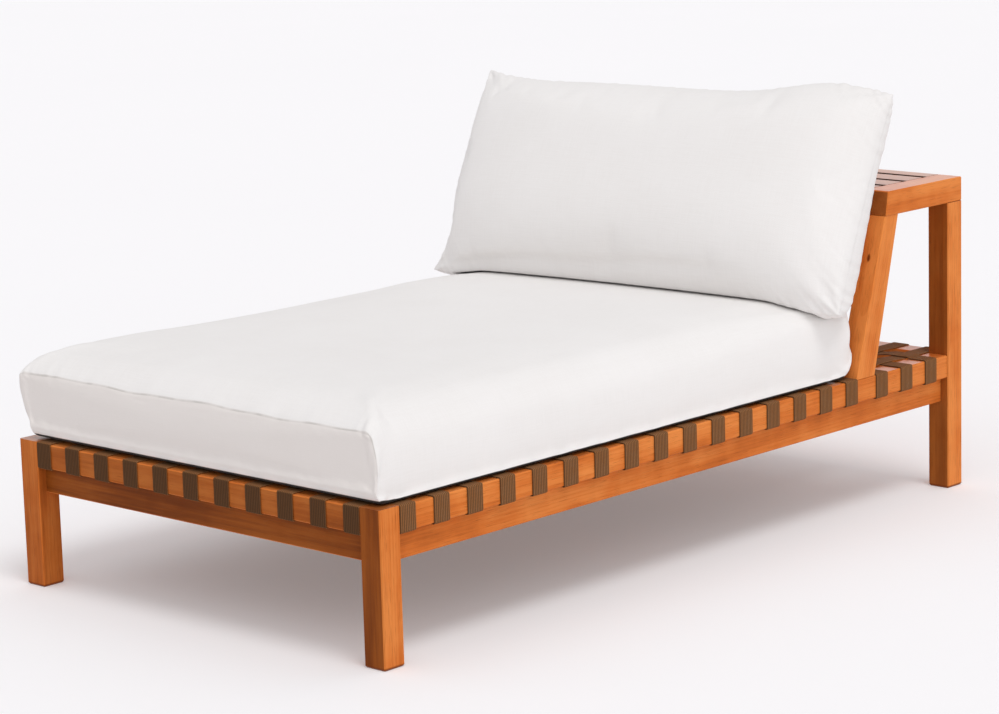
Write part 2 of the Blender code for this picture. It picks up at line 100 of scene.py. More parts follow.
scene = bpy.context.scene
lens = bpy.data.cameras.new("photo_camera")
lens.sensor_width = SENSOR_MM
lens.sensor_fit = "HORIZONTAL"
lens.lens = SENSOR_MM * FOCAL_LENGTH_PIXELS / IMAGE_WIDTH_PIXELS
lens.clip_end = 200.0
camera = bpy.data.objects.new("photo_camera", lens)
camera.matrix_world = (
    Matrix.Translation(CAMERA_PLACE)
    @ Matrix.Rotation(CAMERA_HEADING, 4, "Z")
    @ Matrix.Rotation(pi / 2 - CAMERA_PITCH, 4, "X")
    @ Matrix.Rotation(CAMERA_ROLL, 4, "Z")
)
scene.collection.objects.link(camera)
scene.camera = camera
scene.view_settings.view_transform = "Standard"
print(f"lens of {lens.lens:.1f} mm")

# %% [markdown]
# ## Shader arithmetic
#
# A finish is a sum of masks, so it should read like one. The class below wraps a socket.
# Its operators add Math nodes, and one method adds any other node: first the node's
# settings, then the values or links of its sockets. Colours go through Mix nodes, because
# a Math node would turn them grey.


# %% A socket with Python's arithmetic
class Wire:
    """An output of a shader node that can be added, multiplied and linked."""

    def __init__(self, tree, output=None):
        self.tree = tree
        self.output = output

    def node(self, kind, settings=None, inputs=None, output=0):
        """Add a node, set its settings and then its sockets, and wrap one of its outputs."""
        made = self.tree.nodes.new("ShaderNode" + kind)
        for key, value in (settings or {}).items():
            if key == "stops":
                self.set_stops(made.color_ramp, value)
            else:
                setattr(made, key, value)
        for key, value in (inputs or {}).items():
            if isinstance(value, Wire):
                self.tree.links.new(value.output, made.inputs[key])
            else:
                made.inputs[key].default_value = value
        return Wire(self.tree, made.outputs[output])

    @staticmethod
    def set_stops(ramp, stops):
        """Give a colour ramp its (place, colour) stops."""
        while len(ramp.elements) < len(stops):
            ramp.elements.new(1.0)
        for element, (place, colour) in zip(ramp.elements, stops):
            element.position = place
            element.color = (*colour, 1.0)

    def feed(self, node, socket):
        """Link this output into a socket of an existing node."""
        self.tree.links.new(self.output, node.inputs[socket])

    def math(self, operation, *operands):
        """A Math node on numbers and wires."""
        return self.node("Math", {"operation": operation}, dict(enumerate(operands)))

    def __add__(self, other):
        return self.math("ADD", self, other)

    def __sub__(self, other):
        return self.math("SUBTRACT", self, other)

    def __rsub__(self, other):
        return self.math("SUBTRACT", other, self)

    def __mul__(self, other):
        return self.math("MULTIPLY", self, other)

    def __truediv__(self, other):
        return self.math("DIVIDE", self, other)

    def __pow__(self, other):
        return self.math("POWER", self, other)

    def __abs__(self):
        return self.math("ABSOLUTE", self)

    __radd__ = __add__
    __rmul__ = __mul__

    def sine(self):
        return self.math("SINE", self)

    def step(self, low, high):
        """0 below low, 1 above high and a smooth step between them."""
        settings = {"interpolation_type": "SMOOTHSTEP"}
        return self.node("MapRange", settings, {"Value": self, "From Min": low, "From Max": high})

    def noise(self, vector, scale, detail=2.0, roughness=0.5):
        """Fractal noise about 0.5 at a vector's place."""
        inputs = {"Vector": vector, "Scale": scale, "Detail": detail, "Roughness": roughness}
        return self.node("TexNoise", None, inputs)

    def along(self, direction):
        """The part of a vector wire that lies along a direction."""
        return self.node("VectorMath", {"operation": "DOT_PRODUCT"}, {0: self, 1: tuple(direction)}, "Value")

    def vector(self, x, y, z):
        return self.node("CombineXYZ", None, {0: x, 1: y, 2: z})

    def tint(self, mask, first, second):
        """Mix two colours by a mask."""
        settings = {"data_type": "RGBA"}
        return self.node("Mix", settings, {0: mask, 6: first, 7: second}, 2)


def rgb(red, green, blue):
    """A linear colour for a node's colour socket."""
    return (red, green, blue, 1.0)


def new_finish(name, **fixed):
    """A Principled material whose unchanging values sit on the shader's own sockets."""
    material = bpy.data.materials.new(name)
    material.use_nodes = True
    shader = material.node_tree.nodes["Principled BSDF"]
    for socket, value in fixed.items():
        shader.inputs[socket.replace("_", " ")].default_value = value
    return material, shader, Wire(material.node_tree)


print("socket class ready")

# %% [markdown]
# ## Studio light and floor
#
# The sweep is pale, with a soft shadow straight under the frame. The top and
# right faces are about equally bright and the foot end is darker. Suns with a wide angle
# act as large soft boxes that never fall off, so floor and backdrop stay even from every
# side. One shines from nearly overhead, one from the right. The world adds a fill, and the
# camera sees it as a plain pale backdrop through Is Camera Ray. The sweep also glows a
# little by itself: painted light that keeps the shadow on it light.

# %% Lights, world and floor
OVERHEAD_STRENGTH = 0.90
OVERHEAD_TILT = radians(23.4)
OVERHEAD_HEADING = radians(77.0)
OVERHEAD_SPREAD = radians(24.0)
SIDE_STRENGTH = 0.54
SIDE_HEIGHT = radians(26.0)
SIDE_HEADING = radians(55.0)
SIDE_SPREAD = radians(60.0)
FILL_STRENGTH = 0.68
GLOSS_SEES = 0.8
BACKDROP = rgb(0.93, 0.925, 0.945)
FLOOR_PALE = rgb(0.815, 0.815, 0.825)
FLOOR_SHADE = rgb(0.80, 0.80, 0.81)
# Painted light: the sweep's own glow
FLOOR_PAINTED_LIGHT = rgb(1.0, 0.94, 0.94)
FLOOR_PAINTED_LIGHT_STRENGTH = 0.165
FLOOR_REACH = 60.0


def soft_box(name, strength, spread, turn):
    """A sun of a wide angle, turned from its own downward direction."""
    lamp = bpy.data.lights.new(name, "SUN")
    lamp.energy = strength
    lamp.angle = spread
    holder = bpy.data.objects.new(name, lamp)
    holder.matrix_world = turn
    scene.collection.objects.link(holder)


overhead_turn = Matrix.Rotation(OVERHEAD_HEADING, 4, "Z") @ Matrix.Rotation(OVERHEAD_TILT, 4, "X")
soft_box("overhead_box", OVERHEAD_STRENGTH, OVERHEAD_SPREAD, overhead_turn)
side_turn = Matrix.Rotation(SIDE_HEADING, 4, "Z") @ Matrix.Rotation(pi / 2 - SIDE_HEIGHT, 4, "X")
soft_box("side_box", SIDE_STRENGTH, SIDE_SPREAD, side_turn)

world = bpy.data.worlds.new("studio")
world.use_nodes = True
scene.world = world
background = world.node_tree.nodes["Background"]
background.inputs["Color"].default_value = BACKDROP
seen = Wire(world.node_tree).node("LightPath", output="Is Camera Ray")
glossy = Wire(world.node_tree).node("LightPath", output="Is Glossy Ray")
strength = FILL_STRENGTH + (1 - FILL_STRENGTH) * seen.math("MAXIMUM", seen, glossy * GLOSS_SEES)
strength.feed(background, "Strength")

floor_mesh = bpy.data.meshes.new("floor")
side = FLOOR_REACH / 2
floor_corners = [(-side, -side, 0), (side, -side, 0), (side, side, 0), (-side, side, 0)]
floor_mesh.from_pydata(floor_corners, [], [(0, 1, 2, 3)])
floor = bpy.data.objects.new("floor", floor_mesh)
scene.collection.objects.link(floor)
# The sweep's emission is painted light that lifts the shadow on it
sweep, shader, wire = new_finish(
    "pale_sweep", Roughness=0.9, Specular_IOR_Level=0.1,
    Emission_Color=FLOOR_PAINTED_LIGHT, Emission_Strength=FLOOR_PAINTED_LIGHT_STRENGTH,
)
place = wire.node("TexCoord", output="Object")
wire.tint(wire.noise(place, 0.6), FLOOR_PALE, FLOOR_SHADE).feed(shader, "Base Color")
floor_mesh.materials.append(sweep)
print("two soft boxes, a fill and a floor of", FLOOR_REACH, "m")

# %% [markdown]
# ## Oiled hardwood
#
# Each bar is cut from its own place in a log. A log is a stack of growth rings about its
# heart, so the pattern is a solid: the distance from a heart line that runs along the
# grain, bent a little by slow noise. On faces along the grain this gives lines and arches,
# and on the ends it gives arcs, with no picture and no unwrapping. Fibres are noise drawn
# out along the grain, and pores are its short dark dashes. Ends drink more oil, so they
# are darker. Faces towards the foot end, and the right face of one leg, get painted shade.
# The tops of the shelf's slats get a painted grey sheen, and the faces in their gaps get
# painted shade.

# %% Wood finish as a solid
ALONG_X = (1.0, 0.0, 0.0)
ALONG_Y = (0.0, 1.0, 0.0)
ALONG_Z = (0.0, 0.0, 1.0)
RING_PITCH = 0.0064
HEART_NEAREST = 0.030
HEART_REACH = 0.110
HEART_WANDER = 0.022
GOLDEN = 0.618034
WOOD_DARK = (0.170, 0.036, 0.005)
WOOD_DEEP = (0.450, 0.108, 0.017)
WOOD_BODY = (0.640, 0.163, 0.027)
WOOD_PALE = (0.770, 0.248, 0.056)
END_GRAIN = rgb(0.170, 0.046, 0.010)
# Painted shade for faces to the foot, a painted sheen for slat tops, painted shade for slat gaps
FACE_SHADE_DARK = rgb(0.075, 0.015, 0.001)
FACE_SHADE_BODY = rgb(0.200, 0.046, 0.003)
SLAT_PAINTED_SHEEN = rgb(0.380, 0.250, 0.190)
GAP_PAINTED_SHADE = rgb(0.012, 0.009, 0.007)
SLAT_BEHIND = 0.040
SLAT_SHEEN_SHARE = 0.5
GAP_SHADE_SHARE = 0.95
# Stretch of each noise along the grain and across it
HEART_NOISE = (0.9, 5.0)
FIBRE_NOISE = (3.0, 190.0)
PORE_NOISE = (26.0, 1100.0)
PATCH_NOISE = (3.2, 30.0)
FIGURE_NOISE = (21.0, 16.0)
LOG_STRIDE = 4.3
SWAY_OFFSET = 40.0
TONE_BASE = 0.09
TONE_SHIFT = 0.07
PATCH_WEIGHT = 1.30
FIBRE_WEIGHT = 0.42
FIGURE_WEIGHT = 0.45
LATE_WEIGHT = 0.14
KNOT_STRETCH = 0.45
KNOT_BEND = 0.012
KNOT_REACH = 0.022
SOLE_LEVELS = (0.003, 0.007)
# Share of painted shade on faces to the foot and to the right, and how much paler the bar is
PAINTED_FACE_SHADE_AND_TONE = {
    "leg_front_left": (0.40, 0.42, 0.0),
    "leg_front_right": (0.84, 0.05, 0.0),
    "leg_rear": (0.70, 0.0, 0.18),
    "lower_rail_foot": (0.82, 0.0, 0.0),
    "upper_rail_foot": (0.57, 0.0, 0.0),
    "shelf_side": (0.30, 0.0, 0.0),
    "back_post": (0.04, 0.0, 0.20),
}


def hardwood(node, grain, number, knot=None):
    """A finish for one bar: rings about its own heart line, fibres, pores and darker ends.

    Ring count = distance from the heart / ring pitch. Tone = patches + fibres - late wood.
    A knot, (place, axis), bends the rings round it and darkens its middle.
    """
    name = "hardwood_" + node
    material, shader, wire = new_finish(name, Specular_IOR_Level=0.06, Coat_Roughness=0.28)
    low, high = (np.array(corner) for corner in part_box(node))
    grain = np.array(grain) / np.linalg.norm(grain)
    across = np.cross(grain, (0.0, 0.0, 1.0) if abs(grain[Z]) < 0.7 else (0.0, 1.0, 0.0))
    across /= np.linalg.norm(across)
    through = np.cross(grain, across)
    middle = (low + high) / 2
    turn = 2 * pi * ((number * GOLDEN) % 1.0)
    distance = HEART_NEAREST + HEART_REACH * ((number * GOLDEN * GOLDEN) % 1.0)
    place = wire.node("TexCoord", output="Object")
    a = place.along(grain) + LOG_STRIDE * number
    b = place.along(across) - float(middle @ across)
    c = place.along(through) - float(middle @ through)

    def drawn_out(stretch, detail=2.0, roughness=0.5, offset=0.0):
        """Noise drawn out along the grain."""
        lengthwise, crosswise = stretch
        spot = wire.vector(a * lengthwise + offset, b * crosswise, c * crosswise)
        return wire.noise(spot, 1.0, detail, roughness)

    wander = drawn_out(HEART_NOISE) - 0.5
    sway = drawn_out(HEART_NOISE, offset=SWAY_OFFSET) - 0.5
    bend = 0.0
    heart_wood = 0.0
    if knot is not None:
        centre, axis = (np.array(part) for part in knot)
        off = place.node("VectorMath", {"operation": "SUBTRACT"}, {0: place, 1: tuple(centre)})
        side_axis = np.cross(axis, grain)
        far = wire.math("SQRT", (off.along(grain) * KNOT_STRETCH) ** 2.0 + off.along(side_axis) ** 2.0)
        bend = KNOT_BEND * (1 - far.step(0.0, KNOT_REACH))
        heart_wood = 1 - far.step(0.0018, 0.0050)
    y = b + HEART_WANDER * wander + float(distance * np.cos(turn)) + bend
    z = c + HEART_WANDER * sway + float(distance * np.sin(turn))
    radius = wire.math("SQRT", y * y + z * z)
    late = wire.math("FRACT", radius / RING_PITCH) ** 3.0
    fibre = drawn_out(FIBRE_NOISE, 3.0, 0.6)
    pores = drawn_out(PORE_NOISE, 1.0).step(0.60, 0.72)
    patch = drawn_out(PATCH_NOISE, 3.0)
    figure = drawn_out(FIGURE_NOISE)
    face = wire.node("TexCoord", output="Normal")
    known = (PAINTED_FACE_SHADE_AND_TONE[start] for start in PAINTED_FACE_SHADE_AND_TONE if node.startswith(start))
    foot_share, right_share, paler = next(known, (0.0, 0.0, 0.0))
    # Painted shade: faces to the foot, and for some bars faces to the right, turn darker
    to_foot = 0.0 - face.along(ALONG_Y)
    face_shade = foot_share * to_foot.step(0.6, 0.9) + right_share * face.along(ALONG_X).step(0.6, 0.9)
    tone = TONE_BASE + TONE_SHIFT * (((number * GOLDEN * 3) % 1.0) - 0.5) + paler
    tone = tone + PATCH_WEIGHT * patch + FIBRE_WEIGHT * (fibre - 0.5)
    tone = tone + FIGURE_WEIGHT * (figure - 0.5) - LATE_WEIGHT * late
    stops = [(0.0, WOOD_DARK), (0.30, WOOD_DEEP), (0.62, WOOD_BODY), (1.0, WOOD_PALE)]
    colour = wire.node("ValToRGB", {"stops": stops}, {"Fac": tone}, "Color")
    # Colours of the painted shade on those faces
    face_shade_colour = wire.tint((patch + 0.5 * (fibre - 0.5)).step(0.30, 0.66), FACE_SHADE_DARK, FACE_SHADE_BODY)
    colour = wire.tint(face_shade, colour, face_shade_colour)
    colour = wire.tint(0.45 * pores + heart_wood, colour, rgb(*WOOD_DARK))
    end = abs(face.along(grain)).step(0.80, 0.95)
    upward = face.along(ALONG_Z).step(0.70, 0.95)
    colour = wire.tint(0.60 * end, colour, END_GRAIN)
    if node.startswith("leg"):
        sole = 1 - place.along(ALONG_Z).step(*SOLE_LEVELS)
        colour = wire.tint(0.8 * sole, colour, rgb(*WOOD_DARK))
    if node.startswith("shelf_slat"):
        # Painted grey sheen on the slats' tops
        colour = wire.tint(SLAT_SHEEN_SHARE * upward, colour, SLAT_PAINTED_SHEEN)
        if low[Y] > span("shelf_side_right", Y)[0] + SLAT_BEHIND:
            # Painted shade on the faces that look into the gaps between slats
            colour = wire.tint(GAP_SHADE_SHARE * to_foot.step(0.20, 0.55), colour, GAP_PAINTED_SHADE)
    colour.feed(shader, "Base Color")
    (0.36 + 0.16 * fibre + 0.16 * pores + 0.14 * end).feed(shader, "Roughness")
    upward.feed(shader, "Coat Weight")
    height = 0.5 * fibre - 0.5 * pores + 0.15 * late
    bump = wire.node("Bump", None, {"Strength": 0.35, "Distance": 0.0006, "Height": height}, "Normal")
    bump.feed(shader, "Normal")
    return material


# %% [markdown]
# Grain always runs along a bar, because wood is strong that way: up the legs, along the
# rails, up the lean of the posts. The lean comes from the post's own solid. One post has a
# small knot on its front face, as the photograph shows.

# %% Grain for every bar
KNOT_SHARE_UP = 0.720


def points_of(mesh):
    """A mesh's points, one row each."""
    flat = np.empty(len(mesh.vertices) * 3, np.float32)
    mesh.vertices.foreach_get("co", flat)
    return flat.reshape(-1, 3).astype(float)


def post_lean(node):
    """Middle of a leaning post's foot and middle of its head."""
    points = points_of(nodes[node].data)
    low, high = points[:, Z].min(), points[:, Z].max()
    ends = [points[np.abs(points[:, Z] - level) < 1e-4] for level in (low, high)]
    foot, head = ((end.min(axis=0) + end.max(axis=0)) / 2 for end in ends)
    return foot, head


bars = {}
for name in nodes:
    if name.startswith("leg_"):
        bars[name] = ALONG_Z
    elif name.endswith(("rail_left", "rail_right")) or name.startswith("shelf_side"):
        bars[name] = ALONG_Y
    elif name.startswith("back_post"):
        foot, head = post_lean(name)
        bars[name] = tuple(head - foot)
    elif "strap" not in name and name not in ("seat_cushion", "back_pillow"):
        bars[name] = ALONG_X

for number, name in enumerate(sorted(bars)):
    knot = None
    if name == "back_post_right":
        foot, head = post_lean(name)
        knot = (foot + KNOT_SHARE_UP * (head - foot), ALONG_Y)
    finish = hardwood(name, bars[name], number + 1, knot)
    nodes[name].data.materials.clear()
    nodes[name].data.materials.append(finish)
print(len(bars), "bars with their own grain")

# %% [markdown]
# ## Meshes from arrays
#
# Every new piece is a set of points worked out with numpy and a list of four-cornered
# faces. The helper below puts such arrays into a mesh in one go. It also stores a UV map
# in metres, so that threads keep their size and follow the cloth.


# %% From arrays to an object
def piece_from(name, points, quads, uv, material, caps=(), marks=None):
    """A smooth mesh object at the origin: points (n, 3), quads (m, 4), uv (m, 4, 2)."""
    sizes = [4] * len(quads) + [len(cap) for cap in caps]
    corners = np.concatenate([np.ravel(quads), *map(np.ravel, caps)]).astype(np.int32)
    flat_uv = np.zeros((len(corners), 2), np.float32)
    flat_uv[: 4 * len(quads)] = np.reshape(uv, (-1, 2))
    mesh = bpy.data.meshes.new(name)
    mesh.vertices.add(len(points))
    mesh.vertices.foreach_set("co", np.ravel(points).astype(np.float32))
    mesh.loops.add(len(corners))
    mesh.loops.foreach_set("vertex_index", corners)
    mesh.polygons.add(len(sizes))
    mesh.polygons.foreach_set("loop_start", np.cumsum([0] + sizes[:-1]).astype(np.int32))
    mesh.polygons.foreach_set("use_smooth", np.ones(len(sizes), bool))
    mesh.uv_layers.new(name="cloth").data.foreach_set("uv", flat_uv.ravel())
    for mark, values in (marks or {}).items():
        mesh.attributes.new(mark, "FLOAT", "POINT").data.foreach_set("value", values.astype(np.float32))
    mesh.update(calc_edges=True)
    mesh.validate()
    mesh.materials.append(material)
    piece = bpy.data.objects.new(name, mesh)
    scene.collection.objects.link(piece)
    return piece


def tube(points, across, along):
    """Quads and UVs of a grid of rings (n, m) closed round its second index, with end caps."""
    n, m = points.shape[:2]
    i, j = np.meshgrid(np.arange(n - 1), np.arange(m), indexing="ij")
    k = (j + 1) % m
    quads = np.stack([i * m + j, i * m + k, (i + 1) * m + k, (i + 1) * m + j], -1).reshape(-1, 4)
    u = np.stack([across[j], across[k], across[k], across[j]], -1)
    v = np.stack([along[i], along[i], along[i + 1], along[i + 1]], -1)
    caps = [np.arange(m)[::-1], (n - 1) * m + np.arange(m)]
    return quads, np.stack([u, v], -1).reshape(-1, 4, 2), caps


print("mesh helpers ready")

# %% [markdown]
# ## The woven deck
#
# The deck is flat webbing, drawn over and under its neighbours in a plain weave, folded
# round the upper rails and fixed below them. A flat strap is best made directly: a thin
# profile with soft edges, carried along a path. The path lies flat on each crossing, rises
# or falls half a step between two crossings, and turns round the rail's eased edges.

# %% Strap sizes from the solids
FIT = 0.0003
ARRIS = 0.002
STRAP_TUCK = 0.024
WEAVE_MARGIN = 0.003
WEAVE_RAMP = 0.007
PATH_STEP = 0.004

cross_names = sorted(name for name in nodes if name.startswith("cross_strap"))
long_names = sorted(name for name in nodes if name.startswith("long_strap"))
rail_low, rail_top = span("upper_rail_right", Z)
rail_face_x = span("upper_rail_right", X)[1]
rail_face_y = span("upper_rail_head", Y)[1]
inner_x = span("upper_rail_right", X)[0]
inner_y = span("upper_rail_head", Y)[0]
strap_width = float(np.ptp(span(cross_names[0], Y)))
strap_thickness = span(cross_names[0], X)[1] - rail_face_x - FIT
strap_lift = FIT + strap_thickness / 2
weave_step = strap_thickness + FIT
deck_level = rail_top + strap_lift
cross_places = np.array([np.mean(span(name, Y)) for name in cross_names])
long_places = np.array([np.mean(span(name, X)) for name in long_names])
print(f"straps {strap_width * 1000:.1f} mm wide and {strap_thickness * 1000:.2f} mm thick")

# %% [markdown]
# At a crossing, the strap on top lies half a step above the deck and the other half a step
# below. Beside its own rail a strap can't dip, so there the lower one stays level and the
# upper one rises a whole step.


# %% Which strap lies on top
def weave_lifts():
    """Lifts of cross straps and of long straps at every crossing, as two (row, column) arrays."""
    row, column = np.indices((len(cross_places), len(long_places)))
    cross_over = (row + column) % 2 == 0
    end_row = (row == 0) | (row == len(cross_places) - 1)
    end_column = (column == 0) | (column == len(long_places) - 1)
    low = np.where(np.where(cross_over, end_row, end_column), 0.0, -weave_step / 2)
    high = low + weave_step
    return np.where(cross_over, high, low), np.where(cross_over, low, high)


def eased(x, knots, levels):
    """Levels at x: flat between equal knots, a smooth step t*t*(3-2t) between unequal ones."""
    index = np.clip(np.searchsorted(knots, x) - 1, 0, len(knots) - 2)
    share = np.clip((x - knots[index]) / (knots[index + 1] - knots[index]), 0.0, 1.0)
    share = share * share * (3 - 2 * share)
    return levels[index] + (levels[index + 1] - levels[index]) * share


def strap_path(face, inner, places, lifts):
    """Points (along, level) of a strap's middle: tuck, fold, weave, fold, tuck."""
    turn = np.linspace(0.0, pi / 2, 9)
    bend = ARRIS + strap_lift
    corner = face - ARRIS
    tuck = np.linspace(face - STRAP_TUCK, corner, 6, endpoint=False)
    rise = np.linspace(rail_low + ARRIS, rail_top - ARRIS, 9)[1:-1]
    end = np.concatenate([
        np.stack([tuck, np.full_like(tuck, rail_low - strap_lift)], -1),
        np.stack([corner + bend * np.sin(turn), rail_low + ARRIS - bend * np.cos(turn)], -1),
        np.stack([np.full_like(rise, corner + bend), rise], -1),
        np.stack([corner + bend * np.cos(turn), rail_top - ARRIS + bend * np.sin(turn)], -1),
    ])
    half = strap_width / 2 + WEAVE_MARGIN
    reach = inner + WEAVE_MARGIN / 2
    flats = np.stack([np.maximum(places - half, -reach), np.minimum(places + half, reach)], -1)
    first = min(flats[0, 0] - WEAVE_RAMP, -inner)
    last = max(flats[-1, 1] + WEAVE_RAMP, inner)
    knots = np.concatenate([[-face, first], flats.ravel(), [last, face]])
    levels = np.concatenate([[0.0, 0.0], np.repeat(lifts, 2), [0.0, 0.0]])
    count = int(2 * corner / PATH_STEP)
    x = np.linspace(-corner, corner, count)[1:-1]
    woven = np.stack([x, deck_level + eased(x, knots, levels)], -1)
    return np.concatenate([end * (-1, 1), woven, end[::-1]])


# %% [markdown]
# The webbing's profile is a flat lens with soft selvages: half thickness is
# t/2 * sqrt(1 - |s|^n) at a share s of the half width. Carried along the path, each point
# moves across the strap and along the path's normal.

# %% Ribbons along the paths
SELVAGE_POWER = 16.0
PROFILE_SHARES = np.array([-1.0, -0.985, -0.94, -0.82, -0.45, 0.0, 0.45, 0.82, 0.94, 0.985, 1.0])


def ribbon(path, place, lengthwise):
    """Rings of a strap: across = s * w/2, height = +-t/2 * sqrt(1 - |s|^n) along the path's normal."""
    tangent = np.gradient(path, axis=0)
    tangent /= np.linalg.norm(tangent, axis=1, keepdims=True)
    normal = np.stack([-tangent[:, 1], tangent[:, 0]], -1)
    shares = np.concatenate([PROFILE_SHARES, PROFILE_SHARES[-2:0:-1]])
    side = np.where(np.arange(len(shares)) < len(PROFILE_SHARES), 1.0, -1.0)
    height = side * strap_thickness / 2 * np.sqrt(1 - np.abs(shares) ** SELVAGE_POWER)
    along = path[:, None, 0] + normal[:, None, 0] * height
    level = path[:, None, 1] + normal[:, None, 1] * height
    across = np.broadcast_to(place + shares * strap_width / 2, along.shape)
    rings = np.stack([across, along, level], -1) if lengthwise else np.stack([along, across, level], -1)
    run = np.concatenate([[0.0], np.cumsum(np.linalg.norm(np.diff(path, axis=0), axis=1))])
    return rings, shares * strap_width / 2, run


# %% [markdown]
# ## Webbing
#
# Outdoor webbing is woven from thick dark yarns in ribs along its length, with a finer
# thread that crosses them. The strap's UV map gives the distance across and along, so both
# are sine waves, offset from rib to rib. Colour and bump come from the same waves.

# %% Webbing finish
RIB_PITCH = 0.0044
THREAD_PITCH = 0.0026
WEB_SHADOW = rgb(0.090, 0.045, 0.020)
# Painted shade for faces towards the foot
WEB_FOOT_SHADE = rgb(0.046, 0.020, 0.007)
WEB_BODY = rgb(0.285, 0.110, 0.031)
WEB_LIGHT = rgb(0.280, 0.155, 0.078)


def webbing():
    """Ribs sin(u) and threads sin(v + rib) in dark brown, with uneven dye."""
    material, shader, wire = new_finish("woven_webbing", Specular_IOR_Level=0.15)
    cloth = wire.node("UVMap", {"uv_map": "cloth"})
    u, v = (cloth.along(axis) for axis in (ALONG_X, ALONG_Y))
    rib = 0.5 + 0.5 * (u * (2 * pi / RIB_PITCH)).sine()
    side = wire.math("FLOOR", u / RIB_PITCH + 0.25)
    thread = 0.5 + 0.5 * (v * (2 * pi / THREAD_PITCH) + side * pi).sine()
    place = wire.node("TexCoord", output="Object")
    dye = wire.noise(place, 45.0, 3.0)
    yarn = wire.noise(wire.vector(u * 900.0, v * 120.0, 0.0), 1.0, 2.0)
    raised = rib * (0.55 + 0.45 * thread)
    colour = wire.tint(raised.step(0.02, 0.70), WEB_SHADOW, WEB_BODY)
    colour = wire.tint((raised * (dye + yarn - 0.45)).step(0.15, 0.95), colour, WEB_LIGHT)
    face = wire.node("TexCoord", output="Normal")
    # Painted shade on faces towards the foot
    colour = wire.tint(0.75 * (0.0 - face.along(ALONG_Y)).step(0.5, 0.9), colour, WEB_FOOT_SHADE)
    colour.feed(shader, "Base Color")
    (0.92 - 0.18 * raised * yarn).feed(shader, "Roughness")
    height = raised + 0.2 * yarn
    bump = wire.node("Bump", None, {"Strength": 0.5, "Distance": 0.0008, "Height": height}, "Normal")
    bump.feed(shader, "Normal")
    return material


web = webbing()
cross_lifts, long_lifts = weave_lifts()


def lay_strap(name, path, place, lengthwise):
    """One strap in its solid's place. Faces of cross straps are turned round to look outwards."""
    rings, u, v = ribbon(path, place, lengthwise)
    quads, uv, caps = tube(rings, u, v)
    if not lengthwise:
        quads, uv, caps = quads[:, ::-1], uv[:, ::-1], [cap[::-1] for cap in caps]
    strap = piece_from("webbing_" + name, rings.reshape(-1, 3), quads, uv, web, caps)
    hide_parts(name)
    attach(strap, "frame")


for row, name in enumerate(cross_names):
    path = strap_path(rail_face_x, inner_x, long_places, cross_lifts[row])
    lay_strap(name, path, cross_places[row], lengthwise=False)
for column, name in enumerate(long_names):
    path = strap_path(rail_face_y, inner_y, cross_places, long_lifts[:, column])
    lay_strap(name, path, long_places[column], lengthwise=True)
print(len(cross_names), "cross straps and", len(long_names), "long straps woven")

# %% [markdown]
# ## Canvas
#
# The covers are heavy white cotton in a plain weave. Warp and weft are two sine waves on
# the cover's UV map, and slubs are noise drawn out along each of them. From a few metres
# the weave only softens the light, so its bump is small. Covers store where they are
# marked: a thin line of painted shade along the seams, painted shade on the end panels,
# and a black band along the lowest edge of the mattress.

# %% Canvas finish
CANVAS_THREAD = 0.0016
CANVAS_WHITE = rgb(0.855, 0.835, 0.820)
CANVAS_SHADE = rgb(0.795, 0.768, 0.745)
# Painted shade for end panels and seams, and the black of the bottom band
PANEL_PAINTED_SHADE = rgb(0.670, 0.600, 0.560)
SEAM_PAINTED_SHADE = rgb(0.420, 0.400, 0.370)
BOTTOM_BAND_BLACK = rgb(0.020, 0.016, 0.014)


def canvas():
    """Plain weave: sin(u) * sin(v) lifts warp over weft, with slubs along both."""
    material, shader, wire = new_finish("white_canvas", Specular_IOR_Level=0.15, Sheen_Weight=0.10)
    cloth = wire.node("UVMap", {"uv_map": "cloth"})
    u, v = (cloth.along(axis) for axis in (ALONG_X, ALONG_Y))
    weave = (u * (pi / CANVAS_THREAD)).sine() * (v * (pi / CANVAS_THREAD)).sine()
    warp = wire.noise(wire.vector(u * 420.0, v * 18.0, 0.0), 1.0, 3.0)
    weft = wire.noise(wire.vector(u * 18.0, v * 420.0, 5.0), 1.0, 3.0)
    place = wire.node("TexCoord", output="Object")
    cloud = wire.noise(place, 6.0, 3.0)
    slubs = 0.5 * (warp + weft)
    mask = (0.25 + 0.9 * (slubs - 0.5) + 0.5 * (cloud - 0.5) - 0.12 * weave).step(0.0, 0.9)
    colour = wire.tint(mask, CANVAS_WHITE, CANVAS_SHADE)
    seam, panel, lining = (
        wire.node("Attribute", {"attribute_name": mark}, output="Fac") for mark in ("seam", "panel", "lining")
    )
    # Painted shade on the end panels
    colour = wire.tint(0.5 * panel, colour, PANEL_PAINTED_SHADE)
    # Painted shade along the seams, broken up by noise
    seam_breakup = wire.noise(place, 24.0, 3.0).step(0.38, 0.62)
    colour = wire.tint((0.18 + 0.36 * seam_breakup) * seam.step(0.45, 0.90), colour, SEAM_PAINTED_SHADE)
    # A black band along the lowest edge of the mattress
    wire.tint(lining.step(0.46, 0.54), colour, BOTTOM_BAND_BLACK).feed(shader, "Base Color")
    (0.86 + 0.12 * slubs).feed(shader, "Roughness")
    height = 0.35 * weave + 1.2 * slubs
    bump = wire.node("Bump", None, {"Strength": 0.30, "Distance": 0.0008, "Height": height}, "Normal")
    bump.feed(shader, "Normal")
    return material


cover = canvas()

# %% [markdown]
# ## Filling a cover
#
# A filled cover is tight cloth pushed out from inside and held in by its seams. Blender's
# Cloth with pressure does just that: the panels swell, and the seams, which are drawn in a
# little as thread draws them, pucker the cloth beside them. The start is a slightly slack
# form, and the result is capped, so that the piece keeps its size.


